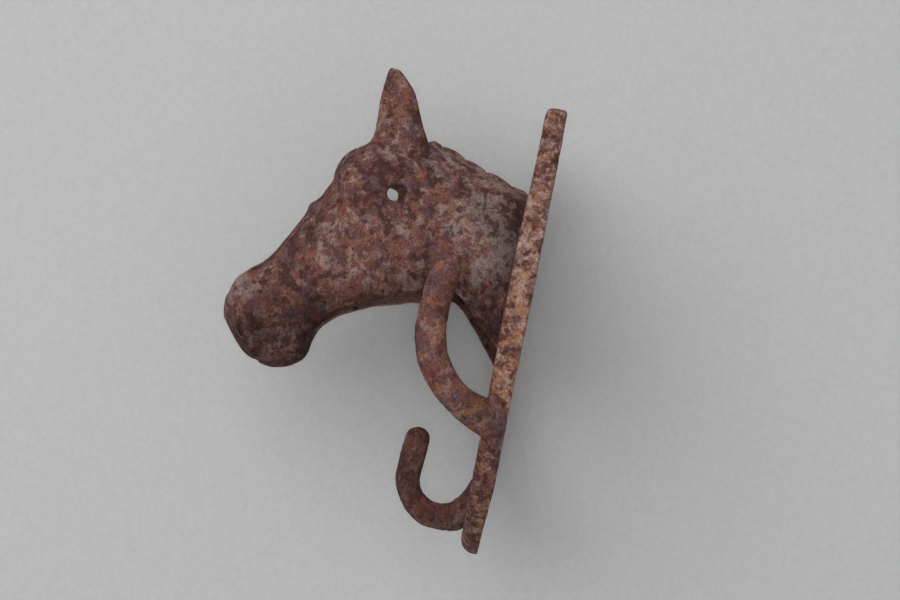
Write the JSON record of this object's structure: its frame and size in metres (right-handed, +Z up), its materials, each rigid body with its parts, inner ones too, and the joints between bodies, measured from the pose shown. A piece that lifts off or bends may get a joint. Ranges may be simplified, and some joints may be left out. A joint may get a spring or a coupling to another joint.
{
  "type": "horseshoe tack hook",
  "caption": "Wall-mounted iron tack hook: a hollow horse head on a horseshoe back plate, with a rod hook on its edge and a J hook at the toe.",
  "frame": {"origin": "on the wall plane, at the middle of the bar at the horseshoe's toe", "axes": "+Y into the wall, -Y forward towards the muzzle, +Z up towards the heels and ears, +X the horse's left, where the side hook is"},
  "size_m": [0.1477, 0.1258, 0.1914],
  "materials": {
    "shoe_iron": "mottled rust, brown and orange, matte and pitted",
    "head_iron": "mottled rust with purple-brown and grey bare patches, matte and pitted",
    "rod_iron": "orange-brown rust, matte",
    "weld": "dark rusty weld bead"
  },
  "bodies": {
    "root": {"horseshoe": "shoe_iron", "bridge_plate": "shoe_iron", "head_half_left": "head_iron", "head_half_right": "head_iron", "mane_strip": "head_iron", "forelock": "head_iron", "ear_left": "head_iron", "ear_right": "head_iron", "nose_seam": "head_iron", "neck_weld_left": "weld", "neck_weld_right": "weld", "bridge_weld_left": "weld", "bridge_weld_right": "weld", "side_hook": "rod_iron", "side_hook_weld": "weld", "toe_hook": "rod_iron", "toe_hook_weld": "weld"}
  },
  "joints": []
}
